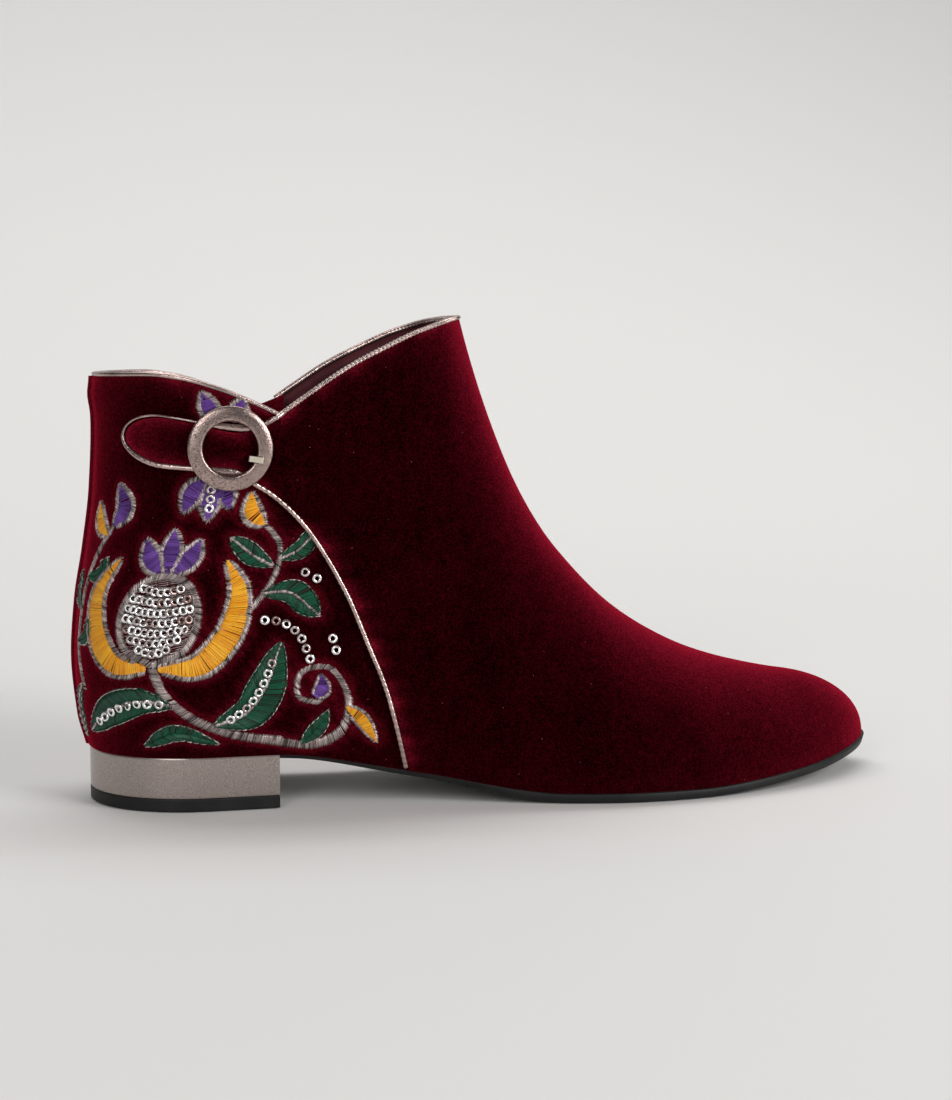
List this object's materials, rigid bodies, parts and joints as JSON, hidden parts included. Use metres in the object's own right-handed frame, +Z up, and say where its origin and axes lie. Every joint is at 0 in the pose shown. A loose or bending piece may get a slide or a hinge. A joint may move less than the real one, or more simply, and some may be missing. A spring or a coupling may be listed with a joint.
{
  "type": "ankle boot",
  "caption": "Velvet ankle boot for the right foot with a low covered heel, notched collar, side strap under a ring buckle and an inner zip with a hinged pull.",
  "frame": {"origin": "middle of the boot's box on the floor that it stands on", "axes": "+X from heel to toe, +Y to the inner side with the zip, -Y to the outer side with the buckle, +Z up"},
  "size_m": [0.2598, 0.0868, 0.1486],
  "materials": {
    "velvet": "deep wine cotton velvet with a short mottled nap",
    "pewter_leather": "metallic pewter foil leather, rolled and creased",
    "buckle_leather": "pebbled metallic pewter leather over a ring",
    "heel_cover": "smooth metallic pewter cover, satin",
    "nickel": "polished nickel",
    "black_nickel": "polished black nickel",
    "zip_tape": "woven dark wine tape",
    "lining_leather": "matt plum lining leather",
    "black_rubber": "matt black rubber"
  },
  "bodies": {
    "boot": {"upper": "velvet", "back_collar_binding": "pewter_leather", "front_collar_binding": "pewter_leather", "strap": "velvet", "vamp_edge_piping": "pewter_leather", "buckle": "buckle_leather", "buckle_prong": "nickel", "zip_tape": "zip_tape", "zip_coil": "black_nickel", "zip_slider": "black_nickel", "insole": "lining_leather", "outsole": "black_rubber", "heel_block": "heel_cover", "heel_top_piece": "black_rubber"},
    "pull_tab": {"zip_pull": "black_nickel"}
  },
  "joints": [
    {"name": "pull_hinge", "type": "hinge", "parent": "boot", "child": "pull_tab", "pos_m": [-0.0674, 0.03157, 0.1139], "axis": [0.9728, -0.0569, 0.2244], "range_deg": [0, 160]}
  ]
}
